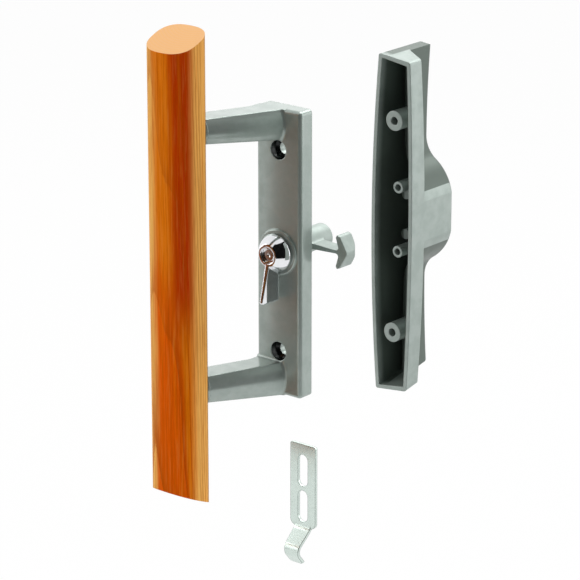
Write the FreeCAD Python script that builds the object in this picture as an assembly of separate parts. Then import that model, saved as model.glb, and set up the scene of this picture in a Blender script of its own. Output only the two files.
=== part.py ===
"""Sliding patio door handle set: inside pull with a hook lock, outside pull and keeper.

Frame: the origin is on the door's inner face, on the lock axis. +X runs along the door
towards the jamb, +Y goes through the door to the outside, +Z is up. Millimetres.
"""
import FreeCAD, Part
import math
import os

V = FreeCAD.Vector
ACROSS = V(1, 0, 0)
THROUGH = V(0, 1, 0)
UP = V(0, 0, 1)
TINY = 0.001
MARGIN = 5.0                     # how far a cutting tool reaches past what it cuts

# Inside plate, a die casting with a hollow back
plate_width = 27.0
plate_height = 142.1
plate_drop = 0.85                # the plate's middle is this far below the middle of its holes
plate_depth = 8.5
plate_corner_r = 2.0
plate_edge_r = 2.0
plate_wall = 2.4

# Fixing holes, shared by the inside plate and the outside pull
screw_spacing = 100.0
screw_hole_r = 3.0
screw_seat_r = 4.7
screw_seat_depth = 3.6
screw_cone_depth = 1.2
screw_boss_wall = 1.8

# Arms from the plate to the wooden grip
arm_reach = 34.0
arm_lean = 24.4
arm_root_x = -10.9
upper_arm_height = 15.0
upper_arm_height_at_grip = 12.3
upper_arm_taper = 0.1
lower_arm_height = 16.7
lower_arm_height_at_grip = 13.6
lower_arm_taper = 2.5
arm_width = 13.2
arm_width_at_grip = 14.0
arm_bulge = 2.0
arm_side_bulge = 0.2
arm_edge_r = 0.6
arm_root_r = 1.0
arm_bend_r = 8.0
arm_lip = 0.6
arm_lip_below = 0.2
arm_lip_start = 36.9
arm_overlap = 5.0

# Wooden grip
grip_width = 27.5
grip_thickness = 21.1
grip_fullness = 2.6
grip_section_points = 32
grip_length = 224.3
grip_drop = 4.1
grip_offset = 24.0
grip_bevel = 23.0
grip_seat_gap = 0.05

# Wood screws that hold the grip from behind the arms
grip_screw_x = -20.5
grip_screw_r = 2.0
grip_screw_length = 19.0
grip_screw_head_r = 3.9
grip_screw_head_height = 2.6
grip_screw_web = 6.0
grip_screw_point = 3.0
grip_screw_gap = 0.1
grip_screw_access_r = 4.4
drive_slot_length = 4.6
drive_slot_width = 0.9
drive_slot_depth = 1.5

# Collar and bearing that the spindle turns in
collar_r = 11.2
collar_height = 1.2
collar_edge_r = 0.6
bearing_wall = 2.6
bearing_recess = 1.0
rib_thickness = 1.8

# Spindle
spindle_r = 4.0
spindle_fit = 0.05
drive_r = 2.6
drive_flat = 1.9
drive_fit = 0.03
rivet_head_r = 3.0
rivet_head_height = 0.9
rivet_dimple_r = 1.1
rivet_dimple_depth = 0.5
tenon_length = 11.0

# Washers and clip on the spindle
lever_washer_r = 8.8
lever_washer_thickness = 0.5
turning_gap = 0.2
spring_washer_r = 6.2
spring_washer_thickness = 0.4
spring_washer_rise = 0.7
clip_r = 6.0
clip_thickness = 0.6
clip_groove_r = 3.2
clip_mouth = 5.0
ring_fit = 0.1

# Thumb lever, a cone with a fin that points down at rest
lever_base_r = 9.2
lever_rim_height = 0.8
lever_height = 6.45
lever_front_r = 5.4
lever_swell = 0.4
lever_lip = 1.3
lever_recess_depth = 2.2
fin_length = 23.4
fin_tip_reach = 4.6
fin_thickness = 3.2
fin_front_thickness = 1.5
fin_tip_r = 1.2
fin_front_start = 4.5

# Hook latch behind the plate
hub_r = 6.4
hub_end = 25.0
hub_edge_r = 0.5
hub_flat = 3.4
hub_gap = 0.3
hook_near = 8.3
hook_depth = 8.6
hook_bar_thickness = 1.5
hook_bar_root_thickness = 3.4
hook_bar_fillet_r = 2.0
hook_barb_x = 21.4
hook_barb_height = 8.3
hook_nose_x = 27.9
hook_undercut = 1.4
hook_barb_land = 1.2
hook_nose_land = 1.6
hook_nose_back_r = 3.2
hook_edge_r = 0.4
hook_root_r = 1.6

# Outside pull, a thin-walled casting that is open towards the door
pull_x = 80.0
pull_y = -24.0
pull_z = 31.0
pull_wall = 1.9
pull_left_end = 8.8
pull_left_middle = 12.1
pull_right_end = 9.0
pull_right_middle = 10.9
pull_left_rise = 79.4
pull_right_rise = 77.4
pull_centre_rise = 0.7
pull_depth = 31.2
pull_lower_end_rise = 6.0
pull_corner_r = 1.4
pull_inner_corner_r = 0.3
pull_back_r = 2.0
pull_back_steps = 3

# Finger recesses and the swelling between them on the outside pull
recess_centre_rise = 3.0
recess_floor = 4.0
recess_floor_end = 2.4
recess_start = 33.5
swell_x = 11.3
swell_half = 5.0
recess_r = 12.0
shoulder_depth_end = 7.7
shoulder_depth_middle = 10.4
shoulder_slope = 0.58

# Screw bosses inside the outside pull
pull_boss_r = 4.6
pull_boss_hole_r = 1.9
pull_boss_hole_depth = 10.0
pull_boss_setback = 0.5
pull_boss_length = 13.0
post_r = 2.7
post_hole_r = 1.6
post_hole_depth = 8.0
post_setback = 3.8
post_spacing = 30.4
ejector_pad_r = 2.4
ejector_pad_x = -2.6
ejector_pad_setback = 13.0
ejector_pad_spacing = 19.0

# Keeper, a stamped and bent steel strip
keeper_x = 9.4
keeper_top_z = -97.6
keeper_thickness = 1.5
keeper_width = 15.6
keeper_height = 43.0
keeper_corner_r = 1.0
keeper_foot_r = 3.0
slot_length = 16.5
slot_width = 6.0
slot_spacing = 18.6
slot_top_margin = 13.6
tongue_width = 9.6
tongue_end_width = 8.0
tongue_forward = 10.9
tongue_drop = 9.5
tongue_return = 6.4
tongue_return_drop = 7.8
tongue_bend_r = 4.0
tongue_curl_r = 3.4
tongue_tip_r = 1.6

# Places worked out from the sizes above
plate_front = -plate_depth
plate_top = plate_height / 2 - plate_drop
plate_bottom = plate_top - plate_height
plate_left = -plate_width / 2
grip_back = plate_front - arm_reach
collar_front = plate_front - collar_height
lever_base = collar_front - lever_washer_thickness - turning_gap
lever_front = lever_base - lever_height
lever_recess_floor = lever_front + lever_recess_depth
bearing_back = -bearing_recess
spring_back = bearing_back + spring_washer_rise + turning_gap
clip_back = spring_back + clip_thickness
hub_front = clip_back + hub_gap
screw_heights = (screw_spacing / 2, -screw_spacing / 2)
upper_arm = (plate_top, upper_arm_height, upper_arm_height_at_grip, upper_arm_taper)
lower_arm = (-plate_bottom, lower_arm_height, lower_arm_height_at_grip, lower_arm_taper)
arm_middles = (plate_top - upper_arm_taper - upper_arm_height_at_grip / 2,
               plate_bottom + lower_arm_taper + lower_arm_height_at_grip / 2)
screw_head_seat = grip_back + grip_screw_web


def on_front(x, z):
    return V(x, 0, z)


def on_side(y, z):
    return V(0, y, z)


def on_plan(x, y):
    return V(x, y, 0)


def outline(place, start, *steps):
    """A closed face from straight steps (u, v) and arc steps ((u, v) midway, (u, v) at the end)."""
    first = last = place(*start)
    edges = []
    for step in steps:
        if isinstance(step[0], tuple):
            end = place(*step[1])
            edges.append(Part.Arc(last, place(*step[0]), end).toShape())
        else:
            end = place(*step)
            edges.append(Part.makeLine(last, end))
        last = end
    if last.distanceToPoint(first) > TINY:
        edges.append(Part.makeLine(last, first))
    return Part.Face(Part.Wire(edges))


def rounded_rectangle(place, width, height, radius):
    """A rectangle about the origin with round corners."""
    w, h, keep = width / 2, height / 2, radius * (1 - math.sqrt(0.5))
    return outline(
        place, (-w + radius, -h), (w - radius, -h),
        ((w - keep, -h + keep), (w, -h + radius)), (w, h - radius),
        ((w - keep, h - keep), (w - radius, h)), (-w + radius, h),
        ((-w + keep, h - keep), (-w, h - radius)), (-w, -h + radius),
        ((-w + keep, -h + keep), (-w + radius, -h)))


def full_oval(place, width, height, fullness, count):
    """A smooth oval about the origin: fullness 2 is an ellipse, and more is nearer a rectangle."""
    points = []
    for step in range(count):
        across, along = math.cos(2 * math.pi * step / count), math.sin(2 * math.pi * step / count)
        points.append(place(math.copysign(abs(across) ** (2 / fullness), across) * width / 2,
                            math.copysign(abs(along) ** (2 / fullness), along) * height / 2))
    curve = Part.BSplineCurve()
    curve.interpolate(Points=points, PeriodicFlag=True)
    return Part.Face(Part.Wire([curve.toShape()]))


def rod(radius, y_from, y_to, x=0.0, z=0.0):
    return Part.makeCylinder(radius, y_to - y_from, V(x, y_from, z), THROUGH)


def cone(r_from, r_to, y_from, y_to, x=0.0, z=0.0):
    return Part.makeCone(r_from, r_to, y_to - y_from, V(x, y_from, z), THROUGH)


def block(x_from, x_to, y_from, y_to, z_from, z_to):
    return Part.makeBox(x_to - x_from, y_to - y_from, z_to - z_from, V(x_from, y_from, z_from))


def turned(*steps):
    """A solid turned about the lock axis from its (radius, y) outline."""
    return outline(on_plan, *steps).revolve(V(0, 0, 0), THROUGH, 360)


def fused(*shapes):
    return shapes[0].multiFuse(list(shapes[1:])).removeSplitter()


def rounded(shape, radius, chosen):
    """Round the edges whose points all pass the test."""
    edges = [edge for edge in shape.Edges if all(chosen(vertex.Point) for vertex in edge.Vertexes)]
    return shape.makeFillet(radius, edges)


def both_flats(radius, flat, y_from, y_to):
    """A round bar with two flats, as a drive shank or its hole."""
    bar = rod(radius, y_from, y_to)
    return bar.common(block(-flat, flat, y_from, y_to, -radius, radius))


def plate_solid():
    """The plate as a full block, with its front edges rounded."""
    face = rounded_rectangle(on_front, plate_width, plate_height, plate_corner_r)
    face.translate(V(0, plate_front, -plate_drop))
    return rounded(face.extrude(THROUGH * plate_depth), plate_edge_r,
                   lambda p: abs(p.y - plate_front) < TINY)


def arm_section(x_left, x_right, y, z_outer, height, left_bulge):
    """A flat-topped section with round sides and edges, on the plane of one y."""
    z_inner = z_outer - height
    z_middle = z_outer - height / 2
    edge, turn = arm_edge_r, arm_edge_r * (1 - math.sqrt(0.5))
    face = outline(
        on_front, (x_left + edge, z_outer), (x_right - edge, z_outer),
        ((x_right - turn, z_outer - turn), (x_right, z_outer - edge)),
        ((x_right + arm_bulge, z_middle), (x_right, z_inner + edge)),
        ((x_right - turn, z_inner + turn), (x_right - edge, z_inner)), (x_left + edge, z_inner),
        ((x_left + turn, z_inner + turn), (x_left, z_inner + edge)),
        ((x_left - left_bulge, z_middle), (x_left, z_outer - edge)),
        ((x_left + turn, z_outer - turn), (x_left + edge, z_outer)))
    face.translate(V(0, y, 0))
    return face.OuterWire


def arm_far_x(reach, slope):
    """Far edge of an arm: in line with the plate's side, round a bend, then leaning out."""
    side = plate_left + arm_side_bulge
    half_bend = arm_bend_r * math.tan(math.radians(arm_lean) / 2)
    corner = (arm_root_x - side) / slope
    along = reach - corner + half_bend
    if along <= 0:
        return side
    if along >= half_bend * (1 + math.cos(math.radians(arm_lean))):
        return arm_root_x - slope * reach
    return side - arm_bend_r + math.sqrt(arm_bend_r ** 2 - along ** 2)


def arm_station(arm, reach, lip=0.0, lip_below=0.0):
    """The arm's section at one distance in front of the plate, wider close to it."""
    outer_end, root_height, grip_height, taper = arm
    slope = math.tan(math.radians(arm_lean))
    share = reach / arm_reach
    to_root = max(0.0, arm_root_r - max(0.0, reach))
    flare = arm_root_r - math.sqrt(arm_root_r ** 2 - to_root ** 2)
    far_x = arm_far_x(reach, slope)
    near_x = arm_root_x + arm_width - slope * reach + (arm_width_at_grip - arm_width) * share + flare
    height = root_height + (grip_height - root_height) * share + flare
    bulge = arm_side_bulge + (arm_bulge - arm_side_bulge) * min(1.0, max(0.0, share) * 2)
    z_outer = outer_end - taper * max(0.0, share)
    return arm_section(far_x - lip, near_x + lip, plate_front - reach, z_outer,
                       height + lip_below, bulge)


def arm_solid(arm):
    """An arm that leans from the plate's left edge out to the back of the grip."""
    slope = math.tan(math.radians(arm_lean))
    corner = (arm_root_x - plate_left - arm_side_bulge) / slope
    half_bend = arm_bend_r * math.tan(math.radians(arm_lean) / 2)
    end = arm_reach + arm_overlap
    reaches = [-plate_edge_r, 0, arm_root_r / 8, arm_root_r / 3, arm_root_r]
    reaches += [corner - half_bend, corner, corner + half_bend, arm_reach / 2, end]
    stem = Part.makeLoft([arm_station(arm, reach) for reach in reaches], True, True)
    flange = Part.makeLoft([arm_station(arm, reach, arm_lip, arm_lip_below)
                            for reach in (arm_lip_start, end)], True, True)
    return fused(stem, flange)


def grip_blank(gap=0.0):
    """The grip's section at full length, larger by a gap all round."""
    face = full_oval(on_plan, grip_width + 2 * gap, grip_thickness + 2 * gap, grip_fullness,
                     grip_section_points)
    reach = grip_length + grip_thickness
    face.translate(V(-grip_offset, grip_back - grip_thickness / 2, -grip_drop - reach / 2))
    return face.extrude(UP * reach)


def fixing_hole(z):
    """A deep seat for the screw head, a short cone and the clearance hole."""
    seat_floor = plate_front + screw_seat_depth
    seat = rod(screw_seat_r, plate_front - MARGIN, seat_floor, z=z)
    taper = cone(screw_seat_r, screw_hole_r, seat_floor, seat_floor + screw_cone_depth, z=z)
    return seat.fuse(taper).fuse(rod(screw_hole_r, seat_floor, MARGIN, z=z))


def plate_hollow():
    """The room behind the plate's front wall, with the bosses, bearing and ribs left standing."""
    room_front = plate_front + plate_wall
    face = rounded_rectangle(on_front, plate_width - 2 * plate_wall, plate_height - 2 * plate_wall,
                             plate_corner_r)
    face.translate(V(0, room_front, -plate_drop))
    room = face.extrude(V(0, MARGIN - room_front, 0))
    kept = [rod(screw_seat_r + screw_boss_wall, room_front, 0, z=z) for z in screw_heights]
    kept.append(rod(spindle_r + bearing_wall, room_front, bearing_back))
    rib = rib_thickness / 2
    kept.append(block(-rib, rib, room_front, bearing_back, plate_bottom, plate_top))
    return room.cut(kept[0].multiFuse(kept[1:]))


def grip_screw_access(z):
    """The way in for a grip screw from behind: a wide hole for its head and a narrow one."""
    wide = rod(grip_screw_access_r, screw_head_seat, plate_front + MARGIN, x=grip_screw_x, z=z)
    narrow = rod(grip_screw_r + grip_screw_gap, grip_back - MARGIN, screw_head_seat,
                 x=grip_screw_x, z=z)
    return wide.fuse(narrow)


def inside_frame():
    """Plate, both arms and the lock collar in one casting."""
    upper = arm_solid(upper_arm)
    lower = arm_solid(lower_arm).mirror(V(0, 0, 0), UP)
    collar = rounded(rod(collar_r, collar_front, plate_front + 1), collar_edge_r,
                     lambda p: abs(p.y - collar_front) < TINY)
    body = fused(plate_solid(), upper, lower, collar)
    body = body.cut(plate_hollow())
    body = body.cut(rod(spindle_r + spindle_fit, collar_front - MARGIN, MARGIN))
    for z in screw_heights:
        body = body.cut(fixing_hole(z))
    body = body.cut(grip_blank(grip_seat_gap))
    for z in arm_middles:
        body = body.cut(grip_screw_access(z))
    return body.removeSplitter()


def wood_grip():
    """Round-cornered bar, both ends cut at a slant so that the door side is longer."""
    bar = grip_blank()
    slant = math.tan(math.radians(grip_bevel))
    middle_y = grip_back - grip_thickness / 2
    half = grip_length / 2
    deep = grip_thickness
    for side in (1, -1):
        z_front = side * (half - deep * slant) - grip_drop
        z_back = side * (half + deep * slant) - grip_drop
        z_far = side * (half + 2 * deep) - grip_drop
        wedge = outline(on_side, (middle_y - deep, z_front), (middle_y + deep, z_back),
                        (middle_y + deep, z_far), (middle_y - deep, z_far))
        wedge.translate(V(-grip_offset - grip_width, 0, 0))
        bar = bar.cut(wedge.extrude(ACROSS * 2 * grip_width))
    pilot_end = screw_head_seat - grip_screw_length - grip_screw_gap
    for z in arm_middles:
        bar = bar.cut(rod(grip_screw_r + grip_screw_gap, pilot_end, grip_back + MARGIN,
                          x=grip_screw_x, z=z))
    return bar


def grip_screw(z):
    """A pan-head wood screw with a pointed end and a cross recess, lying along Y."""
    under_head = screw_head_seat
    point = under_head - grip_screw_length
    head_top = under_head + grip_screw_head_height
    head = rounded(rod(grip_screw_head_r, under_head, head_top), grip_screw_head_height / 2,
                   lambda p: abs(p.y - head_top) < TINY)
    shank = rod(grip_screw_r, point + grip_screw_point, under_head)
    tip = cone(TINY, grip_screw_r, point, point + grip_screw_point)
    screw = fused(head, shank, tip)
    length, width = drive_slot_length / 2, drive_slot_width / 2
    floor = head_top - drive_slot_depth
    screw = screw.cut(block(-length, length, floor, head_top + MARGIN, -width, width))
    screw = screw.cut(block(-width, width, floor, head_top + MARGIN, -length, length))
    screw.translate(V(grip_screw_x, 0, z))
    return screw


def lever_washer():
    return rod(lever_washer_r, collar_front - lever_washer_thickness, collar_front).cut(
        rod(spindle_r + ring_fit, collar_front - MARGIN, collar_front + MARGIN))


def thumb_lever():
    """Swelling cone with a lipped front and a recess for the riveted spindle, and its fin."""
    swell_r = (lever_base_r + lever_front_r) / 2 + lever_swell
    swell_y = (lever_base - lever_rim_height + lever_front) / 2
    hub = turned(
        (0, lever_base), (lever_base_r, lever_base), (lever_base_r, lever_base - lever_rim_height),
        ((swell_r, swell_y), (lever_front_r, lever_front)),
        (lever_front_r - lever_lip, lever_front),
        (lever_front_r - lever_lip, lever_recess_floor), (0, lever_recess_floor))
    lever = fused(hub, fin())
    return lever.cut(both_flats(drive_r + drive_fit, drive_flat + drive_fit,
                                lever_recess_floor - MARGIN, lever_base + MARGIN)).cut(
        rod(lever_front_r - lever_lip, lever_front - MARGIN, lever_recess_floor))


def fin():
    """Thin wedge below the cone: thick at its back edge, narrow in front, deepest at its tip."""
    back = lever_base
    tip_front = lever_front - fin_tip_reach
    tip_end = tip_front + fin_tip_r
    root = -lever_front_r / 2
    round_off = fin_tip_r * (1 - math.sqrt(0.5))
    blade = outline(
        on_side, (back, root), (lever_front, root), (lever_front, -fin_front_start),
        (tip_front, fin_tip_r - fin_length),
        ((tip_front + round_off, round_off - fin_length), (tip_end, -fin_length)),
        (back, -fin_length))
    half, half_front = fin_thickness / 2, fin_front_thickness / 2
    blade.translate(ACROSS * -half)
    blade = blade.extrude(ACROSS * fin_thickness)
    wedge = outline(on_plan, (-half, back), (half, back), (half_front, tip_front),
                    (-half_front, tip_front))
    wedge.translate(UP * -(fin_length + MARGIN))
    return blade.common(wedge.extrude(UP * (fin_length + MARGIN)))


def spindle():
    """Turned bar: riveted end in the lever, journal in the plate, flats into the hook's hub."""
    rivet_back = lever_recess_floor
    rivet = rounded(rod(rivet_head_r, rivet_back - rivet_head_height, rivet_back),
                    rivet_head_height / 2,
                    lambda p: abs(p.y - rivet_back + rivet_head_height) < TINY)
    drive = both_flats(drive_r, drive_flat, rivet_back - TINY, lever_base)
    journal = rod(spindle_r, lever_base, hub_front)
    tenon = both_flats(drive_r, drive_flat, hub_front - 1, hub_front + tenon_length)
    bar = fused(rivet, drive, journal, tenon)
    dimple = cone(rivet_dimple_r, TINY, rivet_back - rivet_head_height,
                  rivet_back - rivet_head_height + rivet_dimple_depth)
    groove = rod(spindle_r + 1, spring_back, clip_back).cut(
        rod(clip_groove_r, spring_back - 1, clip_back + 1))
    return bar.cut(dimple).cut(groove)


def spring_washer():
    """Dished ring that presses the lever back against the collar."""
    inner = spindle_r + ring_fit
    front, back = bearing_back, bearing_back + spring_washer_rise
    return turned((inner, back - spring_washer_thickness), (spring_washer_r, front),
                  (spring_washer_r, front + spring_washer_thickness), (inner, back))


def retaining_clip():
    """Open ring in the spindle's groove."""
    ring = rod(clip_r, spring_back, clip_back).cut(rod(clip_groove_r, spring_back - 1, clip_back + 1))
    mouth = block(-clip_mouth / 2, clip_mouth / 2, spring_back - 1, clip_back + 1, 0, clip_r + 1)
    return ring.cut(mouth)


def hook_plan():
    """Room that the hook's bar and head fill, seen from above: the nose is rounded at the back."""
    back, keep = hook_near + hook_depth, hook_nose_back_r * (1 - math.sqrt(0.5))
    plan = outline(
        on_plan, (0, hook_near), (hook_nose_x, hook_near), (hook_nose_x, back - hook_nose_back_r),
        ((hook_nose_x - keep, back - keep), (hook_nose_x - hook_nose_back_r, back)), (0, back))
    plan.translate(UP * -2 * hook_barb_height)
    return plan.extrude(UP * 4 * hook_barb_height)


def latch_hook():
    """Hub, bar and double-barbed head of the hook, in one casting."""
    hub = rounded(rod(hub_r, hub_front, hub_end), hub_edge_r,
                  lambda p: abs(p.y - hub_end) < TINY)
    hub = hub.cut(block(-hub_r, hub_r, hook_near + hook_depth / 4, hub_end + MARGIN,
                        -hub_r - MARGIN, -hub_flat))
    root, bar = hook_bar_root_thickness / 2, hook_bar_thickness / 2
    barb, land, nose = hook_barb_height, hook_barb_land, hook_nose_land / 2
    inner = hook_barb_x + hook_undercut
    tip_x, brow_x = hook_barb_x + land / 2, hook_barb_x + 2 * land
    turn = hook_root_r * (1 - math.sqrt(0.5))
    head = outline(
        on_front, (0, root), (inner - hook_root_r, bar),
        ((inner - turn, bar + turn), (inner, bar + hook_root_r)),
        (hook_barb_x, barb - land), (tip_x, barb), (brow_x, barb - land / 2),
        (hook_nose_x, nose), (hook_nose_x, -nose),
        (brow_x, land / 2 - barb), (tip_x, -barb), (hook_barb_x, land - barb),
        (inner, -bar - hook_root_r), ((inner - turn, -bar - turn), (inner - hook_root_r, -bar)),
        (0, -root))
    head.translate(THROUGH * hook_near)
    head = rounded(head.extrude(THROUGH * hook_depth), hook_edge_r,
                   lambda p: p.x > brow_x - TINY and p.y < hook_near + TINY)
    head = head.common(hook_plan())
    hook = rounded(fused(hub, head), hook_bar_fillet_r,
                   lambda p: abs(math.hypot(p.x, p.z) - hub_r) < TINY and p.x > 0 and abs(p.z) < hub_r / 2)
    return hook.cut(both_flats(drive_r + drive_fit, drive_flat + drive_fit,
                               hub_front - MARGIN, hub_front + tenon_length + drive_fit))


def pull_outline(inset, depth):
    """Front view of the outside pull at one depth behind its rim, drawn in by a wall."""
    left_end, left_middle = inset - pull_left_end, inset - pull_left_middle
    right_end, right_middle = pull_right_end - inset, pull_right_middle - inset
    left_rise, right_rise = pull_left_rise - inset, pull_right_rise - inset
    raised = pull_lower_end_rise * depth / pull_depth
    corner = max(pull_corner_r - inset, pull_inner_corner_r)
    keep = corner * (1 - math.sqrt(0.5))
    slope = (left_rise - right_rise) / (right_end - left_end) * corner
    left_foot, right_foot = raised - left_rise, raised - right_rise
    face = outline(
        on_front, (left_end + corner, left_foot + slope), (right_end - corner, right_foot - slope),
        ((right_end - keep, right_foot + keep), (right_end, right_foot + corner)),
        ((right_middle, 0), (right_end, right_rise - corner)),
        ((right_end - keep, right_rise - keep), (right_end - corner, right_rise + slope)),
        (left_end + corner, left_rise - slope),
        ((left_end + keep, left_rise - keep), (left_end, left_rise - corner)),
        ((left_middle, 0), (left_end, left_foot + corner)),
        ((left_end + keep, left_foot + keep), (left_end + corner, left_foot + slope)))
    face.translate(V(0, depth, pull_centre_rise))
    return face


def arc_points(centre, radius, start, turn):
    """Middle and end of an arc, from its start angle and its turn, both in radians."""
    return [(centre[0] + radius * math.cos(start + turn * part),
             centre[1] + radius * math.sin(start + turn * part)) for part in (0.5, 1)]


def recess_side(inset):
    """Front view of the upper finger recess: three tangent arcs, from its end to the swelling."""
    floor_x, swell = -recess_floor - inset, swell_x - inset
    rise, run = recess_start - swell_half, swell - floor_x
    turn = 2 * math.atan(run / rise)
    hollow_r = recess_r + inset
    round_r = rise / math.sin(turn) - hollow_r
    flare, height = recess_floor - recess_floor_end, pull_right_rise - recess_start
    flare_r = (height ** 2 + flare ** 2) / (2 * flare) + inset
    flare_turn = math.asin((height + MARGIN) / flare_r)
    floor_middle, floor_end = arc_points((floor_x + flare_r, recess_start), flare_r,
                                         math.pi - flare_turn, flare_turn)
    hollow_middle, meet = arc_points((floor_x + hollow_r, recess_start), hollow_r, math.pi, turn)
    round_middle, swell_end = arc_points((swell - round_r, swell_half), round_r, turn, -turn)
    far_start = (floor_x + flare_r * (1 - math.cos(flare_turn)), recess_start + height + MARGIN)
    return outline(on_front, far_start, (floor_middle, floor_end), (hollow_middle, meet),
                   (round_middle, swell_end), (swell + MARGIN, swell_half),
                   (swell + MARGIN, far_start[1]))


def shoulder_room(inset):
    """Everything behind the shoulder that slopes from the recess floor down to the right edge."""
    start_x = swell_x + MARGIN
    drop = shoulder_slope * (start_x - pull_right_end)
    drawn_in = inset * math.hypot(1, shoulder_slope)
    y_end = shoulder_depth_end - drop - drawn_in
    y_middle = shoulder_depth_middle - drop - drawn_in
    tall = pull_left_rise + MARGIN
    reach = 2 * start_x
    face = outline(on_side, (y_end, -tall), ((y_middle, 0), (y_end, tall)),
                   (pull_depth * 2, tall), (pull_depth * 2, -tall))
    face.translate(ACROSS * start_x)
    return face.extrude(V(-reach, reach * shoulder_slope, 0))


def recesses(inset, tool):
    """Upper and lower finger recess, each made by the tool from its front view."""
    both = [tool(recess_side(inset)), tool(recess_side(inset).mirror(V(0, 0, 0), UP))]
    for recess in both:
        recess.translate(UP * recess_centre_rise)
    return both


def pull_block(inset, depth):
    """The outside pull as a full block from its rim to one depth, drawn in by a wall."""
    ends = [pull_outline(inset, end).OuterWire for end in (0, depth)]
    body = Part.makeLoft(ends, True, True)
    for recess in recesses(inset, lambda face: face.extrude(THROUGH * (pull_depth + MARGIN))):
        body = body.cut(recess.common(shoulder_room(inset)))
    return body


def pull_back():
    """The last stretch of the block, whose edges roll over in steps."""
    wires = []
    for step in range(pull_back_steps + 1):
        angle = math.pi / 2 * step / pull_back_steps
        inset = pull_back_r * (1 - math.cos(angle))
        depth = pull_depth - pull_back_r * (1 - math.sin(angle))
        face = pull_outline(inset, depth)
        for recess in recesses(inset, lambda side: side):
            recess.translate(THROUGH * depth)
            face = face.cut(recess)
        wires.append(face.Faces[0].OuterWire)
    return Part.makeLoft(wires, True, True)


def outside_pull():
    """Shell, screw bosses, posts and ejector pads of the outside pull, in one casting."""
    outer = pull_block(0, pull_depth - pull_back_r).fuse(pull_back())
    floor = pull_depth - pull_wall + TINY
    post_heights = [recess_centre_rise + side * post_spacing / 2 for side in (1, -1)]
    pad_heights = [recess_centre_rise + side * ejector_pad_spacing / 2 for side in (1, -1)]
    stands = [rod(pull_boss_r, pull_boss_setback, pull_boss_length, z=z) for z in screw_heights]
    stands += [rod(post_r, post_setback, floor, z=z) for z in post_heights]
    stands += [rod(ejector_pad_r, ejector_pad_setback, floor, x=ejector_pad_x, z=z)
               for z in pad_heights]
    shell = outer.cut(pull_block(pull_wall, pull_depth - pull_wall))
    pull = fused(shell, *[stand.common(outer) for stand in stands])
    for z in screw_heights:
        pull = pull.cut(rod(pull_boss_hole_r, pull_boss_setback - MARGIN,
                            pull_boss_setback + pull_boss_hole_depth, z=z))
    for z in post_heights:
        pull = pull.cut(rod(post_hole_r, post_setback - MARGIN, post_setback + post_hole_depth, z=z))
    pull.translate(V(pull_x, pull_y, pull_z))
    return pull


def bent_strip(points, inner_radii, thickness):
    """Side view of a strip. The points lie on its front face and its inner points are bends."""
    front, rear = [], []
    for before, corner, after, inner_r in zip(points, points[1:], points[2:], inner_radii):
        arrive = math.atan2(corner[1] - before[1], corner[0] - before[0])
        leave = math.atan2(after[1] - corner[1], after[0] - corner[0])
        turn = (leave - arrive + math.pi) % (2 * math.pi) - math.pi
        side = 1 if turn > 0 else -1
        front_r = inner_r + thickness if side > 0 else inner_r
        cut_back = front_r * math.tan(abs(turn) / 2)
        centre = (corner[0] - cut_back * math.cos(arrive) - side * front_r * math.sin(arrive),
                  corner[1] - cut_back * math.sin(arrive) + side * front_r * math.cos(arrive))
        for face, face_r in ((front, front_r), (rear, front_r - side * thickness)):
            start, middle, end = [(centre[0] + side * face_r * math.sin(arrive + turn * part),
                                   centre[1] - side * face_r * math.cos(arrive + turn * part))
                                  for part in (0, 0.5, 1)]
            face += [(start, middle, end)]
    first, last = points[0], points[-1]
    rear_last = (last[0] - thickness * math.sin(leave), last[1] + thickness * math.cos(leave))
    steps = []
    for start, middle, end in front:
        steps += [start, (middle, end)]
    steps += [last, rear_last]
    for start, middle, end in reversed(rear):
        steps += [end, (middle, start)]
    steps.append((first[0] + thickness, first[1]))
    return outline(on_side, first, *steps)


def keeper_slot(z):
    slot = rounded_rectangle(on_front, slot_width, slot_length, slot_width / 2 - TINY)
    slot.translate(V(keeper_x, -keeper_thickness - MARGIN, z))
    return slot.extrude(THROUGH * (keeper_thickness + 2 * MARGIN))


def keeper_plate():
    """Flat part of the keeper: small corners above, large ones beside the tongue."""
    w, h, small, large = keeper_width / 2, keeper_height, keeper_corner_r, keeper_foot_r
    cut = 1 - math.sqrt(0.5)
    face = outline(
        on_front, (-w + small, 0), (w - small, 0), ((w - small * cut, -small * cut), (w, -small)),
        (w, large - h), ((w - large * cut, large * cut - h), (w - large, -h)), (large - w, -h),
        ((large * cut - w, large * cut - h), (-w, large - h)), (-w, -small),
        ((small * cut - w, -small * cut), (-w + small, 0)))
    face.translate(V(keeper_x, -keeper_thickness, keeper_top_z))
    return face.extrude(THROUGH * keeper_thickness)


def keeper():
    """Stamped plate with two slots, and a tongue that bends forward and curls back under."""
    foot = keeper_top_z - keeper_height
    face = -keeper_thickness
    start = (face, foot + slot_length / 2)
    bend = (face, foot)
    curl = (face - tongue_forward, foot - tongue_drop)
    end = (curl[0] + tongue_return, curl[1] - tongue_return_drop)
    strip = bent_strip((start, bend, curl, end), (tongue_bend_r, tongue_curl_r), keeper_thickness)
    strip.translate(ACROSS * (keeper_x - tongue_width / 2))
    strip = strip.extrude(ACROSS * tongue_width)
    half, half_end, tip = tongue_width / 2, tongue_end_width / 2, end[1]
    keep = tongue_tip_r * (1 - math.sqrt(0.5))
    taper = outline(
        on_front, (-half, start[1]), (half, start[1]), (half, foot), (half_end, tip + tongue_tip_r),
        ((half_end - keep, tip + keep), (half_end - tongue_tip_r, tip)), (tongue_tip_r - half_end, tip),
        ((keep - half_end, tip + keep), (-half_end, tip + tongue_tip_r)), (-half, foot))
    taper.translate(V(keeper_x, curl[0] - MARGIN, 0))
    tongue = strip.common(taper.extrude(THROUGH * (tongue_forward + 2 * MARGIN + keeper_thickness)))
    body = fused(keeper_plate(), tongue)
    for step in (0, 1):
        body = body.cut(keeper_slot(keeper_top_z - slot_top_margin - step * slot_spacing))
    return body


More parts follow.
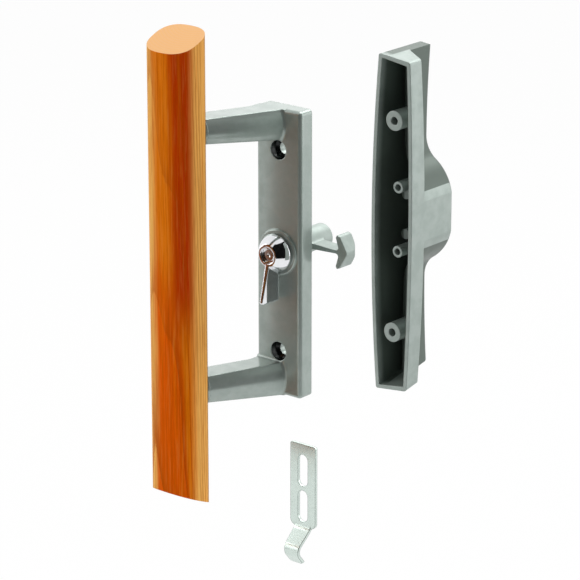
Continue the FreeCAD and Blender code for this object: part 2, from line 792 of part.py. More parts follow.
def main():
    pieces = {
        "inside_frame": inside_frame(),
        "wood_grip": wood_grip(),
        "grip_screw_upper": grip_screw(arm_middles[0]),
        "grip_screw_lower": grip_screw(arm_middles[1]),
        "lever_washer": lever_washer(),
        "thumb_lever": thumb_lever(),
        "spindle": spindle(),
        "spring_washer": spring_washer(),
        "retaining_clip": retaining_clip(),
        "latch_hook": latch_hook(),
        "outside_pull": outside_pull(),
        "keeper": keeper(),
    }
    os.makedirs("parts", exist_ok=True)
    for name, shape in pieces.items():
        shape.exportStep("parts/" + name + ".step")
        print(name, "solids", len(shape.Solids), "valid", shape.isValid(),
              "cm3", round(shape.Volume / 1000, 2))


main()
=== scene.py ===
"""Looks and stage of the sliding door handle set, built in Blender 4.5 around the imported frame."""
import math

import bmesh
import bpy
from bpy.props import FloatProperty, FloatVectorProperty, PointerProperty
from mathutils import Matrix, Vector


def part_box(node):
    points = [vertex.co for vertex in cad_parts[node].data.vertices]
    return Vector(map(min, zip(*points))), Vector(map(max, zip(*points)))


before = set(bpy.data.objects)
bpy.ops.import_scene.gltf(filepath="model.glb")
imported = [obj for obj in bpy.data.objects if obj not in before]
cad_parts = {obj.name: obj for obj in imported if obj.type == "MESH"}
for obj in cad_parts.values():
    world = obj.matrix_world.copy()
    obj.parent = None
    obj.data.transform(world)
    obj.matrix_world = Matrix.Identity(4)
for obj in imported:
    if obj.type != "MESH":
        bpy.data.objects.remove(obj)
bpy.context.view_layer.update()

bl_info = {
    "name": "Sliding door handle set",
    "version": (1, 0, 0),
    "blender": (4, 5, 0),
    "location": "3D View > Sidebar > Handle set",
    "description": "Finishes and stage for a sliding door handle set",
    "category": "Object",
}

MM = 0.001

# The plate's front and the seats of its two screws. The seats' mask, where shade is painted,
# starts behind the front, and is wider than a seat by the margin.
PLATE_FRONT = -8.5 * MM
SCREW_SPACING = 100.0 * MM
SCREW_SEAT_R = 4.7 * MM
SCREW_SEAT_DEPTH = 4.7 * MM
SEAT_START = 0.3 * MM
SEAT_MARGIN = 0.1 * MM

# The outside pull's hollow, where shade is painted. A pair is the start and end of a soft step.
PULL_RIM = -24.0 * MM
HOLLOW_WALL = 1.2 * MM
HOLLOW_TAPER = 3.0 * MM
HOLLOW_LEFT_X = (77.0 * MM, 76.0 * MM)
HOLLOW_LEFT_Y = (PULL_RIM + 0.5 * MM, PULL_RIM + 5.0 * MM)
HOLLOW_SLOPE = 0.58
HOLLOW_SLOPE_X = 78.0 * MM
HOLLOW_BEHIND_Y = (-10.0 * MM, -8.5 * MM)

# Soft steps of the paint's clouds and of the dull specks, in the noise's own values.
CLOUD_STEP = (0.35, 0.65)
SPECK_STEP = (0.62, 0.72)
WHOLE = (0.0, 1.0)

# Growth rings: how far they wander along X and Y, and how their late wood ends.
RING_WANDER = (5.0 * MM, 1.5 * MM, 0.0)
RING_WANDER_SCALE = 11.0
LATE_POWER = 5.0
LATE_END = (1.0, 0.96)
YEARS_SCALE = 0.31
BAND_STEP = (0.40, 0.62)
FIBRE_SCALE = 1300.0
FIBRE_STRETCH = (1.0, 1.0, 0.03)

# Where the wood's colours change, the painted highlight, light and shade among them. Ages count rings
# from the pith. X is taken from the grip's middle, and Y from its front for the painted light on the side and
# from its rear for the painted shade along the rear.
PITH_SHIFT = 1.5 * MM
HEART_AGE = (19.4, 19.9)
REAR_SHADE_AGE = (11.0, 8.5)
HIGHLIGHT_LEFT_X = (-0.5 * MM, -5.5 * MM)
SHADE_BAND_RIGHT_X = (4.0 * MM, 10.5 * MM)
SHADE_BAND_Z = (-45.0 * MM, -5.0 * MM)
LATE_RIGHT_X = (0.0, 6.0 * MM)
SIDE_LIGHT_Y = (4.6 * MM, 9.6 * MM)
REAR_SHADE_Y = (-6.0 * MM, -3.5 * MM)
FAINT_LATE = 0.45
WOOD_WANDER = 5.0 * MM
WOOD_WANDER_SCALE = 18.0
STREAK_SCALE = 560.0
STREAK_STRETCH = (1.0, 1.0, 0.02)
STREAK_SHIFT_X = 5.0 * MM
STREAK_SHIFT_Y = 1.6 * MM
SAWN_NORMAL = (0.3, 0.6)
FIBRE_STEP = (0.3, 0.7)

# The plated pieces.
DULL_CHROME = 0.9
DULL_STEEL = 0.7
ZINC_CLOUD = (0.96, 0.96, 0.96)
# Where the painted shade of the zinc's edges starts and ends, in how far the rounded normal bends.
ZINC_EDGE_SHADE = (0.995, 0.90)
TURNING_SCALE = 2600.0
TURNING_STRETCH = (0.04, 1.0, 0.04)
TURNING_STEP = (0.3, 0.7)

# Dark screens that only reflections see: first and last angle round the set, then the rise of
# foot and head, in degrees.
SCREEN_R = 0.62
SCREENS = ((-31.0, 92.0, -17.0, 42.0), (12.0, 106.0, -24.0, 66.0))
SCREEN_STEPS = 24

# Name, the setting that holds the power, direction from the lock, and size of each lamp.
LAMPS = (("top lamp", "key", (0.0, 0.5, 1.0), (1.0, 1.0)),
         ("side lamp", "side", (1.0, 0.55, 0.25), (0.9, 1.2)),
         ("fill lamp", "fill", (-1.0, -0.65, 0.35), (0.8, 1.0)),
         ("back lamp", "back", (-0.604, 0.733, 0.312), (0.9, 0.7)))
LAMP_DISTANCE = 1.2

FLOOR_R = 6.0
FLOOR_SEGMENTS = 96
FLOOR_WHITE = 0.97
WHITE = (1.0, 1.0, 1.0)

# The picture's middle, across and up in the picture from the plate's front on the lock axis.
CAMERA_AIM = (5.5 * MM, -18.2 * MM, 0.0)
SENSOR_WIDTH = 36.0
CLIP_START = 0.05


def tint(name, description, default):
    return FloatVectorProperty(name=name, description=description, default=default,
                               subtype="COLOR", size=3, min=0.0, max=1.0)


def length(name, description, default):
    return FloatProperty(name=name, description=description, default=default,
                         subtype="DISTANCE", unit="LENGTH", min=0.0)


def share(name, description, default):
    return FloatProperty(name=name, description=description, default=default,
                         subtype="FACTOR", min=0.0, max=1.0)


def angle(name, description, default):
    return FloatProperty(name=name, description=description, default=math.radians(default),
                         subtype="ANGLE", unit="ROTATION")


def amount(name, description, default, least=0.0):
    return FloatProperty(name=name, description=description, default=default, min=least)


class HandlePaintSettings(bpy.types.PropertyGroup):
    """Colours and gloss of the painted castings."""
    colour: tint("Paint", "Grey-green metallic paint", (0.40, 0.46, 0.43))
    shade: tint("Paint shade", "Where the paint is thicker", (0.35, 0.41, 0.38))
    # Painted shade: near black down in the screw seats.
    seat_shade: tint("Hole walls", "Painted shade down in the screw seats", (0.012, 0.016, 0.015))
    # Painted shade inside the outside pull's hollow.
    hollow: tint("Hollow", "Painted shade inside the outside pull", (0.12, 0.15, 0.13))
    metal: share("Metal flake", "How metallic the paint is", 0.45)
    roughness: share("Roughness", "Roughness of the inside frame's paint", 0.22)
    hook_roughness: share("Hook roughness", "Roughness of the latch hook's duller paint", 0.46)
    pull_roughness: share("Pull roughness", "Roughness of the outside pull's paint", 0.38)


class HandleWoodSettings(bpy.types.PropertyGroup):
    """Colours and figure of the wooden grip."""
    heart: tint("Heartwood", "Red-brown middle of the front", (0.90, 0.125, 0.0))
    # Dark heartwood of the latewood lines on the right, and also painted shade in the band by the front's
    # right edge.
    deep: tint("Deep heartwood", "Darkest band by the right edge of the front, partly painted shade", (0.62, 0.045, 0.0))
    amber: tint("Amber wood", "Between the legs of the figure on the front", (0.90, 0.215, 0.004))
    # Earlywood colours the real grain, and is also the painted highlight on the front's left and the painted
    # light on the side.
    light: tint("Earlywood", "Golden earlywood, and painted highlight and side light beside the heart", (1.0, 0.53, 0.130))
    dark: tint("Latewood", "Dark lines between the rings", (0.50, 0.085, 0.0))
    # Painted shade along the grip's rear, which faces the plate.
    back: tint("Back wood", "Painted shade next to the pith and along the rear", (0.13, 0.070, 0.040))
    end: tint("End grain", "Pale wood of the two sawn ends", (0.97, 0.56, 0.27))
    ring: length("Ring spacing", "Distance between growth rings", 1.5 * MM)
    pith_depth: length("Pith depth", "How far behind the front the rings have their middle", 29.4 * MM)
    slant: share("Ring slant", "How fast the rings widen upwards", 0.0188)


class HandleMetalSettings(bpy.types.PropertyGroup):
    """Colours of the plated pieces."""
    chrome: tint("Chrome", "Bright plating of the thumb lever", (0.83, 0.84, 0.86))
    zinc: tint("Zinc", "Bright zinc of the keeper", (0.66, 0.75, 0.70))
    # The real dull grains of the zinc, and also the painted shade along its rounded edges.
    zinc_specks_and_edge_shade: tint("Zinc specks", "Dull grains and painted dark edges of the zinc", (0.10, 0.13, 0.12))
    steel: tint("Steel", "Plated steel of spindle, washers and screws", (0.70, 0.70, 0.69))


class HandleStageSettings(bpy.types.PropertyGroup):
    """Camera, floor and lamps."""
    camera_turn: angle("Camera turn", "Angle round the set from its front", 39.5)
    camera_rise: angle("Camera rise", "Angle above the horizon", 18.2)
    camera_distance: length("Camera distance", "From the lens to the plate", 1.5)
    lens: amount("Lens", "Focal length in millimetres", 196.36, least=1.0)
    floor_drop: length("Floor drop", "How far the floor lies below the lock", 0.30)
    key: amount("Top lamp", "Power of the lamp above, in watts", 12.0)
    side: amount("Side lamp", "Power of the lamp behind the pull, in watts", 4.5)
    fill: amount("Fill lamp", "Power of the lamp beside the grip, in watts", 5.0)
    back: amount("Back lamp", "Power of the lamp behind, seen in the top faces, in watts", 1.0)
    sky: share("Surroundings", "Strength of the plain light from all round", 0.34)


class Nodes:
    """Adds nodes to one node tree. An input is a value, a socket, or a node's first output."""

    def __init__(self, tree):
        self.tree = tree
        tree.nodes.clear()

    def add(self, kind, inputs=None, **settings):
        node = self.tree.nodes.new("ShaderNode" + kind)
        for name, value in settings.items():
            setattr(node, name, value)
        for name, value in (inputs or {}).items():
            self.feed(node.inputs[name], value)
        return node

    def feed(self, socket, value):
        if isinstance(value, bpy.types.Node):
            value = value.outputs[0]
        if isinstance(value, bpy.types.NodeSocket):
            self.tree.links.new(value, socket)
        elif hasattr(value, "__len__") and socket.type == "RGBA":
            socket.default_value = (*value, 1.0)[:4]
        else:
            socket.default_value = value

    def math(self, operation, first, second=None, third=None):
        given = {i: v for i, v in enumerate((first, second, third)) if v is not None}
        return self.add("Math", given, operation=operation)

    def vector(self, operation, first, second):
        return self.add("VectorMath", {0: first, 1: second}, operation=operation)

    def mix(self, factor, first, second, blend="MIX"):
        node = self.add("Mix", data_type="RGBA", blend_type=blend)
        self.feed(node.inputs[0], factor)
        self.feed(node.inputs[6], first)
        self.feed(node.inputs[7], second)
        return node.outputs[2]

    def between(self, value, low, high, to_low=0.0, to_high=1.0):
        return self.add("MapRange", {"Value": value, "From Min": low, "From Max": high,
                                     "To Min": to_low, "To Max": to_high},
                        interpolation_type="SMOOTHSTEP")

    def noise(self, place, scale, detail=2.0, roughness=0.5, stretch=None):
        if stretch:
            place = self.add("Mapping", {"Vector": place, "Scale": stretch})
        return self.add("TexNoise", {"Vector": place, "Scale": scale, "Detail": detail,
                                     "Roughness": roughness})

    def apart(self, vector):
        return self.add("SeparateXYZ", {"Vector": vector}).outputs

    def place(self):
        return self.add("TexCoord").outputs["Object"]


def new_group(name, inputs, outputs):
    """Starts a shader node group: its Nodes helper, what it is given and where its results go."""
    group = bpy.data.node_groups.new(name, "ShaderNodeTree")
    nodes = Nodes(group)
    kinds = {"value": "NodeSocketFloat", "vector": "NodeSocketVector"}
    for label, kind in inputs:
        group.interface.new_socket(label, in_out="INPUT", socket_type=kinds[kind])
    for label, kind in outputs:
        group.interface.new_socket(label, in_out="OUTPUT", socket_type=kinds[kind])
    given = group.nodes.new("NodeGroupInput")
    result = group.nodes.new("NodeGroupOutput")
    return nodes, given.outputs, result.inputs


def mottle_group():
    """Soft cloudy mask, fine specks and a fine height, all at one grain size."""
    nodes, given, result = new_group(
        "Mottle", (("Place", "vector"), ("Grain", "value")),
        (("Cloud", "value"), ("Specks", "value"), ("Height", "value")))
    per_grain = nodes.math("DIVIDE", 1.0, given["Grain"])
    wide, fine = nodes.math("MULTIPLY", per_grain, 0.12), nodes.math("MULTIPLY", per_grain, 1.6)
    cloud = nodes.noise(given["Place"], wide, detail=4.0, roughness=0.6)
    speck = nodes.noise(given["Place"], per_grain, roughness=0.6)
    nodes.feed(result["Cloud"], nodes.between(cloud, *CLOUD_STEP))
    nodes.feed(result["Specks"], nodes.between(speck, *SPECK_STEP))
    nodes.feed(result["Height"], nodes.noise(given["Place"], fine, detail=1.0))


def bores_group():
    """Mask that is 1 inside two equal bores above each other, from a front plane to a depth."""
    nodes, given, result = new_group(
        "Paired bores", (("Place", "vector"), ("Middle", "vector"), ("Spacing", "value"),
                         ("Radius", "value"), ("Depth", "value")),
        (("Mask", "value"),))
    apart = nodes.apart(nodes.vector("SUBTRACT", given["Place"], given["Middle"]))
    half = nodes.math("MULTIPLY", given["Spacing"], 0.5)
    rise = nodes.math("SUBTRACT", nodes.math("ABSOLUTE", apart["Z"]), half)
    across = nodes.math("MULTIPLY", apart["X"], apart["X"])
    away = nodes.math("SQRT", nodes.math("MULTIPLY_ADD", rise, rise, across))
    inside = nodes.math("LESS_THAN", away, given["Radius"])
    depth = nodes.math("MULTIPLY", nodes.math("GREATER_THAN", apart["Y"], 0.0),
                       nodes.math("LESS_THAN", apart["Y"], given["Depth"]))
    nodes.feed(result["Mask"], nodes.math("MULTIPLY", inside, depth))


def rings_group():
    """Growth rings of a tree: a point's age in rings, its late wood, a wide band and fine fibre."""
    nodes, given, result = new_group(
        "Growth rings", (("Place", "vector"), ("Pith", "vector"), ("Ring", "value"), ("Slant", "value")),
        (("Age", "value"), ("Late", "value"), ("Band", "value"), ("Fibre", "value")))
    wander = nodes.noise(given["Place"], RING_WANDER_SCALE, detail=1.0).outputs["Color"]
    moved = nodes.vector("MULTIPLY", nodes.vector("SUBTRACT", wander, (0.5, 0.5, 0.5)), RING_WANDER)
    place = nodes.vector("ADD", nodes.vector("SUBTRACT", given["Place"], given["Pith"]), moved)
    apart = nodes.apart(place)
    across = nodes.math("MULTIPLY", apart["X"], apart["X"])
    away = nodes.math("SQRT", nodes.math("MULTIPLY_ADD", apart["Y"], apart["Y"], across))
    grown = nodes.math("SUBTRACT", away, nodes.math("MULTIPLY", apart["Z"], given["Slant"]))
    age = nodes.math("DIVIDE", grown, given["Ring"])
    saw = nodes.math("FRACT", age)
    late = nodes.math("MULTIPLY", nodes.math("POWER", saw, LATE_POWER), nodes.between(saw, *LATE_END))
    years = nodes.add("TexNoise", {"W": nodes.math("MULTIPLY", age, YEARS_SCALE), "Scale": 1.0,
                                   "Detail": 1.0}, noise_dimensions="1D")
    nodes.feed(result["Age"], age)
    nodes.feed(result["Late"], late)
    nodes.feed(result["Band"], nodes.between(years, *BAND_STEP))
    nodes.feed(result["Fibre"], nodes.noise(given["Place"], FIBRE_SCALE, detail=3.0, roughness=0.7,
                                            stretch=FIBRE_STRETCH))


def hollow_group():
    """Mask of the painted shade in the outside pull's hollow, which narrows with its outline."""
    nodes, given, result = new_group("Hollow", (("Place", "vector"),), (("Mask", "value"),))
    low, high = (Vector(corner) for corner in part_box("outside_pull"))
    middle, half = (low + high) / 2, (high - low) / 2
    apart = nodes.apart(nodes.vector("SUBTRACT", given["Place"], tuple(middle)))
    rise = nodes.math("DIVIDE", apart["Z"], half.z)
    room = nodes.math("MULTIPLY_ADD", nodes.math("MULTIPLY", rise, rise), -HOLLOW_TAPER, half.x - HOLLOW_WALL)
    inside = nodes.math("LESS_THAN", nodes.math("ABSOLUTE", apart["X"]), room)
    whole = nodes.apart(given["Place"])
    left = nodes.math("MULTIPLY", nodes.between(whole["X"], *HOLLOW_LEFT_X),
                      nodes.between(whole["Y"], *HOLLOW_LEFT_Y))
    behind = nodes.math("MULTIPLY_ADD", nodes.math("SUBTRACT", whole["X"], HOLLOW_SLOPE_X), HOLLOW_SLOPE,
                        whole["Y"])
    deep = nodes.math("MAXIMUM", left, nodes.between(behind, *HOLLOW_BEHIND_Y))
    nodes.feed(result["Mask"], nodes.math("MULTIPLY", inside, deep))


def group_node(nodes, name, inputs):
    node = nodes.add("Group", node_tree=bpy.data.node_groups[name])
    for label, value in inputs.items():
        nodes.feed(node.inputs[label], value)
    return node.outputs


def node_material(name):
    """A new material and the Nodes helper of its tree."""
    material = bpy.data.materials.new(name)
    material.use_nodes = True
    return material, Nodes(material.node_tree)


def finish(name, slots):
    """A new material with its node helper and its shader, whose plain sockets are set from slots."""
    material, nodes = node_material(name)
    shader = nodes.add("BsdfPrincipled", slots)
    nodes.feed(nodes.add("OutputMaterial").inputs["Surface"], shader)
    return material, nodes, shader


def roughen(nodes, shader, mask, low, high, step=WHOLE):
    """Lets the roughness go from low to high as a mask goes through a step."""
    nodes.feed(shader.inputs["Roughness"], nodes.between(mask, *step, low, high))


def relief(nodes, shader, height, strength, distance, normal=None):
    """Gives the shader a bump, on a normal of its own where one is given."""
    inputs = {"Height": height, "Strength": strength, "Distance": distance}
    if normal is not None:
        inputs["Normal"] = normal
    nodes.feed(shader.inputs["Normal"], nodes.add("Bump", inputs))


def paint_material(name, look, roughness, hollow=False):
    """Metallic grey paint over a casting, with painted shade in its screw seats or, if asked, in its hollow.
    """
    material, nodes, shader = finish(name, {"Metallic": look.metal, "IOR": 1.5})
    place = nodes.place()
    mottle = group_node(nodes, "Mottle", {"Place": place, "Grain": 0.9 * MM})
    colour = nodes.mix(mottle["Cloud"], look.colour, look.shade)
    if hollow:
        # Painted shade in the hollow of the outside pull, strongest at its left and deep in.
        inside = group_node(nodes, "Hollow", {"Place": place})
        colour = nodes.mix(inside["Mask"], colour, look.hollow)
    else:
        # Painted shade in the screw seats: near black down in them.
        seats = group_node(nodes, "Paired bores", {
            "Place": place, "Middle": (0.0, PLATE_FRONT + SEAT_START, 0.0), "Spacing": SCREW_SPACING,
            "Radius": SCREW_SEAT_R + SEAT_MARGIN, "Depth": SCREW_SEAT_DEPTH})
        colour = nodes.mix(seats["Mask"], colour, look.seat_shade)
    nodes.feed(shader.inputs["Base Color"], colour)
    roughen(nodes, shader, mottle["Cloud"], roughness - 0.02, roughness + 0.04)
    edges = nodes.add("Bevel", {"Radius": 0.6 * MM}, samples=4)
    relief(nodes, shader, mottle["Height"], strength=0.2, distance=0.02 * MM, normal=edges)
    return material


def shifted(base, step):
    return tuple(base + part for part in step)


def wood_figure(nodes, place, rings, look):
    """Colour of the grip's long faces: cathedral figure in front, straight lines beside it, with a painted
    highlight on the left, painted light on the side and painted shade at the front's right and along the
    rear.
    """
    low, high = (Vector(corner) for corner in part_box("wood_grip"))
    middle = (low + high) / 2
    apart = nodes.apart(place)
    wander = nodes.noise(place, WOOD_WANDER_SCALE)
    across = nodes.math("ADD", nodes.math("MULTIPLY_ADD", wander, WOOD_WANDER, -WOOD_WANDER / 2), apart["X"])
    streaks = nodes.noise(place, STREAK_SCALE, detail=3.0, roughness=0.65, stretch=STREAK_STRETCH)
    soft = nodes.math("MULTIPLY_ADD", streaks, STREAK_SHIFT_X, across)
    body = nodes.mix(nodes.between(rings["Age"], *HEART_AGE), look.amber, look.heart)
    # Painted highlight: the left part of the front in golden earlywood.
    body = nodes.mix(nodes.between(soft, *shifted(middle.x, HIGHLIGHT_LEFT_X)), body, look.light)
    # Partly painted shade: a dark band over the right of the front, fading out downwards, together with the
    # real latewood lines there.
    deep = nodes.math("MULTIPLY", nodes.between(soft, *shifted(middle.x, SHADE_BAND_RIGHT_X)),
                      nodes.between(apart["Z"], *SHADE_BAND_Z))
    late = nodes.math("MULTIPLY", rings["Late"], nodes.between(rings["Band"], *WHOLE, FAINT_LATE, 1.0))
    late_right = nodes.math("MULTIPLY", late, nodes.between(across, *shifted(middle.x, LATE_RIGHT_X)))
    body = nodes.mix(nodes.math("MAXIMUM", deep, late_right), body, look.deep)
    # Painted light: the side behind the front in golden earlywood, paler as a lit side is.
    edge = nodes.math("MULTIPLY_ADD", streaks, STREAK_SHIFT_Y, apart["Y"])
    body = nodes.mix(nodes.between(edge, *shifted(low.y, SIDE_LIGHT_Y)), body, look.light)
    # Painted shade along the rear of the grip, darkest round the middle of its back face.
    rear = nodes.math("MAXIMUM", nodes.between(rings["Age"], *REAR_SHADE_AGE),
                      nodes.between(apart["Y"], *shifted(high.y, REAR_SHADE_Y)))
    body = nodes.mix(rear, body, look.back)
    body = nodes.mix(late, body, look.dark)
    for mask, first, last, most, colour in (
            (streaks, 0.50, 0.68, 0.28, look.dark), (streaks, 0.48, 0.30, 0.35, look.amber),
            (rings["Fibre"], 0.48, 0.64, 0.36, look.dark), (rings["Fibre"], 0.50, 0.36, 0.12, look.light)):
        body = nodes.mix(nodes.between(mask, first, last, 0.0, most), body, colour)
    return body


def wood_material(look):
    """Lacquered hardwood: the figure on the long faces and ring arcs on the sawn ends."""
    material, nodes, shader = finish("Lacquered wood", {"IOR": 1.2, "Specular IOR Level": 0.06})
    low, high = (Vector(corner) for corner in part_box("wood_grip"))
    place = nodes.place()
    rings = group_node(nodes, "Growth rings", {
        "Place": place, "Pith": ((low.x + high.x) / 2 + PITH_SHIFT, low.y + look.pith_depth, 0.0),
        "Ring": look.ring, "Slant": look.slant})
    body = wood_figure(nodes, place, rings, look)
    normal = nodes.apart(nodes.add("NewGeometry").outputs["Normal"])
    sawn = nodes.between(nodes.math("ABSOLUTE", normal["Z"]), *SAWN_NORMAL)
    end = nodes.mix(nodes.math("MULTIPLY", rings["Late"], 0.5), look.end, look.light)
    nodes.feed(shader.inputs["Base Color"], nodes.mix(sawn, body, end))
    roughen(nodes, shader, rings["Fibre"], 0.30, 0.42, step=FIBRE_STEP)
    relief(nodes, shader, rings["Fibre"], strength=0.2, distance=0.03 * MM)
    return material


def chrome_material(look):
    """Bright plating with faint waviness and soft edges."""
    material, nodes, shader = finish("Bright chrome", {"Metallic": 1.0})
    mottle = group_node(nodes, "Mottle", {"Place": nodes.place(), "Grain": 1.4 * MM})
    dull = tuple(DULL_CHROME * part for part in look.chrome)
    nodes.feed(shader.inputs["Base Color"], nodes.mix(mottle["Cloud"], look.chrome, dull))
    roughen(nodes, shader, mottle["Cloud"], 0.03, 0.05)
    edges = nodes.add("Bevel", {"Radius": 0.8 * MM}, samples=8)
    relief(nodes, shader, mottle["Height"], strength=0.03, distance=0.01 * MM, normal=edges)
    return material


def zinc_material(look):
    """Bright zinc with dull grains, painted shade along its rounded edges and a little stamping grain."""
    material, nodes, shader = finish("Bright zinc", {"Metallic": 1.0})
    mottle = group_node(nodes, "Mottle", {"Place": nodes.place(), "Grain": 0.35 * MM})
    colour = nodes.mix(nodes.math("MULTIPLY", mottle["Specks"], 0.6), look.zinc, look.zinc_specks_and_edge_shade)
    colour = nodes.mix(mottle["Cloud"], colour, nodes.mix(1.0, colour, ZINC_CLOUD, "MULTIPLY"))
    # Painted shade: dark lines where the edges are rounded.
    edges = nodes.add("Bevel", {"Radius": 0.6 * MM}, samples=6)
    flat = nodes.vector("DOT_PRODUCT", edges, nodes.add("NewGeometry").outputs["Normal"])
    colour = nodes.mix(nodes.between(flat.outputs["Value"], *ZINC_EDGE_SHADE, 0.0, 0.85), colour, look.zinc_specks_and_edge_shade)
    nodes.feed(shader.inputs["Base Color"], colour)
    roughen(nodes, shader, mottle["Cloud"], 0.26, 0.30)
    relief(nodes, shader, mottle["Height"], strength=0.15, distance=0.02 * MM, normal=edges)
    return material


def steel_material(look):
    """Plated steel with turning marks round the lock axis."""
    material, nodes, shader = finish("Plated steel", {"Metallic": 1.0})
    place = nodes.place()
    mottle = group_node(nodes, "Mottle", {"Place": place, "Grain": 0.8 * MM})
    turned = nodes.noise(place, TURNING_SCALE, stretch=TURNING_STRETCH)
    dull = tuple(DULL_STEEL * part for part in look.steel)
    nodes.feed(shader.inputs["Base Color"], nodes.mix(mottle["Cloud"], look.steel, dull))
    roughen(nodes, shader, turned, 0.18, 0.32, step=TURNING_STEP)
    relief(nodes, shader, turned, strength=0.2, distance=0.01 * MM)
    return material


def dress(material, *names):
    """Puts a material in place of the plain one of each CAD node."""
    for name in names:
        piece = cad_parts[name]
        piece.data.materials.clear()
        piece.data.materials.append(material)


class HANDLE_OT_shared_effects(bpy.types.Operator):
    """Makes the node groups that the finishes share"""
    bl_idname = "handle.shared_effects"
    bl_label = "Shared effects"

    def execute(self, context):
        mottle_group()
        bores_group()
        rings_group()
        hollow_group()
        return {"FINISHED"}


class HANDLE_OT_castings(bpy.types.Operator):
    """Paints the inside frame, the latch hook and the outside pull"""
    bl_idname = "handle.castings"
    bl_label = "Painted castings"

    def execute(self, context):
        look = context.scene.handle_paint
        dress(paint_material("Grey paint", look, look.roughness), "inside_frame")
        dress(paint_material("Dull grey paint", look, look.hook_roughness), "latch_hook")
        dress(paint_material("Grey paint with dark hollow", look, look.pull_roughness, hollow=True),
              "outside_pull")
        return {"FINISHED"}


class HANDLE_OT_grip(bpy.types.Operator):
    """Gives the grip its lacquered wood"""
    bl_idname = "handle.grip"
    bl_label = "Wood grip"

    def execute(self, context):
        dress(wood_material(context.scene.handle_wood), "wood_grip")
        return {"FINISHED"}


class HANDLE_OT_lever(bpy.types.Operator):
    """Gives the thumb lever its chrome"""
    bl_idname = "handle.lever"
    bl_label = "Thumb lever"

    def execute(self, context):
        dress(chrome_material(context.scene.handle_metal), "thumb_lever")
        return {"FINISHED"}


class HANDLE_OT_plated(bpy.types.Operator):
    """Finishes the keeper, the spindle with its rings, and the grip's screws"""
    bl_idname = "handle.plated"
    bl_label = "Plated pieces"

    def execute(self, context):
        look = context.scene.handle_metal
        dress(zinc_material(look), "keeper")
        dress(steel_material(look), "spindle", "lever_washer", "spring_washer", "retaining_clip",
              "grip_screw_upper", "grip_screw_lower")
        return {"FINISHED"}


def facing(direction):
    """Turn whose Z axis points along direction, as a lamp or camera that looks the other way has."""
    back = Vector(direction).normalized()
    right = Vector((0.0, 0.0, 1.0)).cross(back).normalized()
    return Matrix((right, back.cross(right), back)).transposed()


def lamp(name, direction, size, power):
    data = bpy.data.lights.new(name, "AREA")
    data.shape, data.size, data.size_y, data.energy = "RECTANGLE", size[0], size[1], power
    light = bpy.data.objects.new(name, data)
    bpy.context.scene.collection.objects.link(light)
    place = Vector(direction).normalized()
    light.matrix_world = Matrix.Translation(place * LAMP_DISTANCE) @ facing(place).to_4x4()


def seen_white(nodes):
    """1 for the rays that see the backdrop plain white, and 0 for those that only light."""
    path = nodes.add("LightPath").outputs
    seen = nodes.math("MAXIMUM", path["Is Camera Ray"], path["Is Glossy Ray"])
    return nodes.math("MAXIMUM", seen, path["Is Transmission Ray"])


def stage_piece(name, mesh, material):
    """Makes a bmesh an object of the stage, with one material."""
    data = bpy.data.meshes.new(name)
    mesh.to_mesh(data)
    mesh.free()
    data.materials.append(material)
    piece = bpy.data.objects.new(name, data)
    bpy.context.scene.collection.objects.link(piece)
    return piece


def stage_floor(stage):
    """Pale floor that the camera and reflections see white."""
    mesh = bmesh.new()
    bmesh.ops.create_circle(mesh, cap_ends=True, segments=FLOOR_SEGMENTS, radius=FLOOR_R)
    bmesh.ops.translate(mesh, verts=mesh.verts, vec=(0.0, 0.0, -stage.floor_drop))
    material, nodes = node_material("Pale floor")
    cloud = nodes.between(nodes.noise(nodes.place(), 3.0), 0.3, 0.7)
    plain = nodes.add("BsdfDiffuse", {"Color": nodes.mix(cloud, (0.86, 0.86, 0.86), (0.9, 0.9, 0.9))})
    white = nodes.add("Emission", {"Color": WHITE})
    shown = nodes.math("MULTIPLY", seen_white(nodes), FLOOR_WHITE)
    nodes.feed(nodes.add("OutputMaterial").inputs["Surface"],
               nodes.add("MixShader", {0: shown, 1: plain, 2: white}))
    stage_piece("floor", mesh, material)


def stage_screens():
    """Dark curved screens on the camera's side, which only reflections see."""
    mesh = bmesh.new()
    for first, last, foot_rise, head_rise in SCREENS:
        start = Matrix.Rotation(math.radians(first), 3, "Z") @ Vector((0.0, -SCREEN_R, 0.0))
        foot, head = (mesh.verts.new(start + Vector((0.0, 0.0, SCREEN_R * math.tan(math.radians(rise)))))
                      for rise in (foot_rise, head_rise))
        rim = mesh.edges.new((foot, head))
        bmesh.ops.spin(mesh, geom=[foot, head, rim], cent=(0.0, 0.0, 0.0), axis=(0.0, 0.0, 1.0),
                       steps=SCREEN_STEPS, angle=math.radians(last - first), use_merge=False)
    material, nodes = node_material("Dark screen")
    cloth = nodes.mix(nodes.noise(nodes.place(), 8.0), (0.004, 0.004, 0.004), (0.010, 0.010, 0.010))
    nodes.feed(nodes.add("OutputMaterial").inputs["Surface"], nodes.add("BsdfDiffuse", {"Color": cloth}))
    screen = stage_piece("dark_screen", mesh, material)
    screen.visible_camera = screen.visible_shadow = screen.visible_diffuse = False


def stage_world(stage):
    """Surroundings that give a weak even light and are seen white."""
    world = bpy.data.worlds.new("White surroundings")
    world.use_nodes = True
    nodes = Nodes(world.node_tree)
    strength = nodes.between(seen_white(nodes), *WHOLE, stage.sky, 1.0)
    nodes.feed(nodes.add("OutputWorld").inputs["Surface"],
               nodes.add("Background", {"Color": WHITE, "Strength": strength}))
    bpy.context.scene.world = world


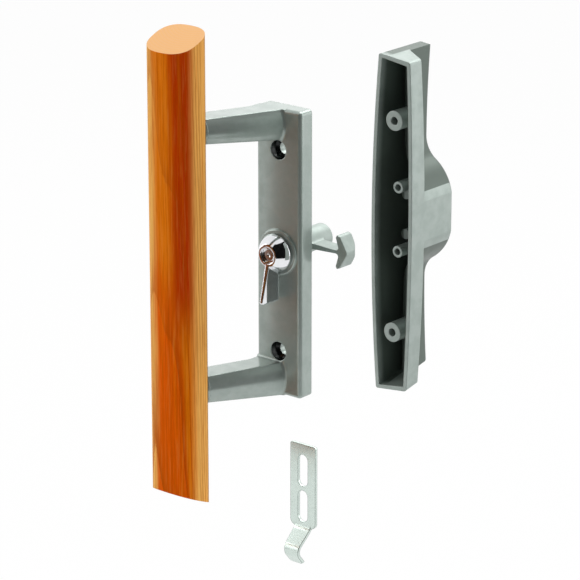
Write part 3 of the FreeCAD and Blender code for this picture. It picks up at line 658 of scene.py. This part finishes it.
def stage_camera(stage):
    """Camera that looks at the set from above its right front, as in the photograph."""
    rise, turn = stage.camera_rise, stage.camera_turn
    back = Vector((math.sin(turn) * math.cos(rise), -math.cos(turn) * math.cos(rise), math.sin(rise)))
    view = facing(back)
    aim = Vector((0.0, PLATE_FRONT, 0.0)) + view @ Vector(CAMERA_AIM)
    data = bpy.data.cameras.new("camera")
    data.lens, data.sensor_width, data.clip_start = stage.lens, SENSOR_WIDTH, CLIP_START
    camera = bpy.data.objects.new("camera", data)
    camera.matrix_world = Matrix.Translation(aim + back * stage.camera_distance) @ view.to_4x4()
    bpy.context.scene.collection.objects.link(camera)
    bpy.context.scene.camera = camera


class HANDLE_OT_stage(bpy.types.Operator):
    """Sets up floor, dark screens, surroundings, lamps and camera"""
    bl_idname = "handle.stage"
    bl_label = "Stage"

    def execute(self, context):
        stage = context.scene.handle_stage
        stage_floor(stage)
        stage_screens()
        stage_world(stage)
        for name, power, direction, size in LAMPS:
            lamp(name, direction, size, getattr(stage, power))
        stage_camera(stage)
        context.scene.view_settings.view_transform = "Standard"
        return {"FINISHED"}


class HANDLE_PT_panel(bpy.types.Panel):
    """Lists the sizes, colours and steps of the handle set"""
    bl_label = "Handle set"
    bl_idname = "HANDLE_PT_panel"
    bl_space_type = "VIEW_3D"
    bl_region_type = "UI"
    bl_category = "Handle set"

    def draw(self, context):
        for label, name in SETTINGS:
            column = self.layout.column(align=True)
            column.label(text=label)
            look = getattr(context.scene, name)
            for part in look.__annotations__:
                column.prop(look, part)
        for step in STEPS:
            self.layout.operator(step.bl_idname)


SETTINGS = (("Paint", "handle_paint"), ("Wood", "handle_wood"), ("Metal", "handle_metal"),
            ("Stage", "handle_stage"))
GROUPS = (HandlePaintSettings, HandleWoodSettings, HandleMetalSettings, HandleStageSettings)
STEPS = (HANDLE_OT_shared_effects, HANDLE_OT_castings, HANDLE_OT_grip, HANDLE_OT_lever,
         HANDLE_OT_plated, HANDLE_OT_stage)


def register():
    for kind in GROUPS + STEPS + (HANDLE_PT_panel,):
        bpy.utils.register_class(kind)
    for (_, name), kind in zip(SETTINGS, GROUPS):
        setattr(bpy.types.Scene, name, PointerProperty(type=kind))


def unregister():
    for _, name in SETTINGS:
        delattr(bpy.types.Scene, name)
    for kind in reversed(GROUPS + STEPS + (HANDLE_PT_panel,)):
        bpy.utils.unregister_class(kind)


def main():
    register()
    bpy.ops.handle.shared_effects()
    bpy.ops.handle.castings()
    bpy.ops.handle.grip()
    bpy.ops.handle.lever()
    bpy.ops.handle.plated()
    bpy.ops.handle.stage()


if __name__ == "__main__":
    main()
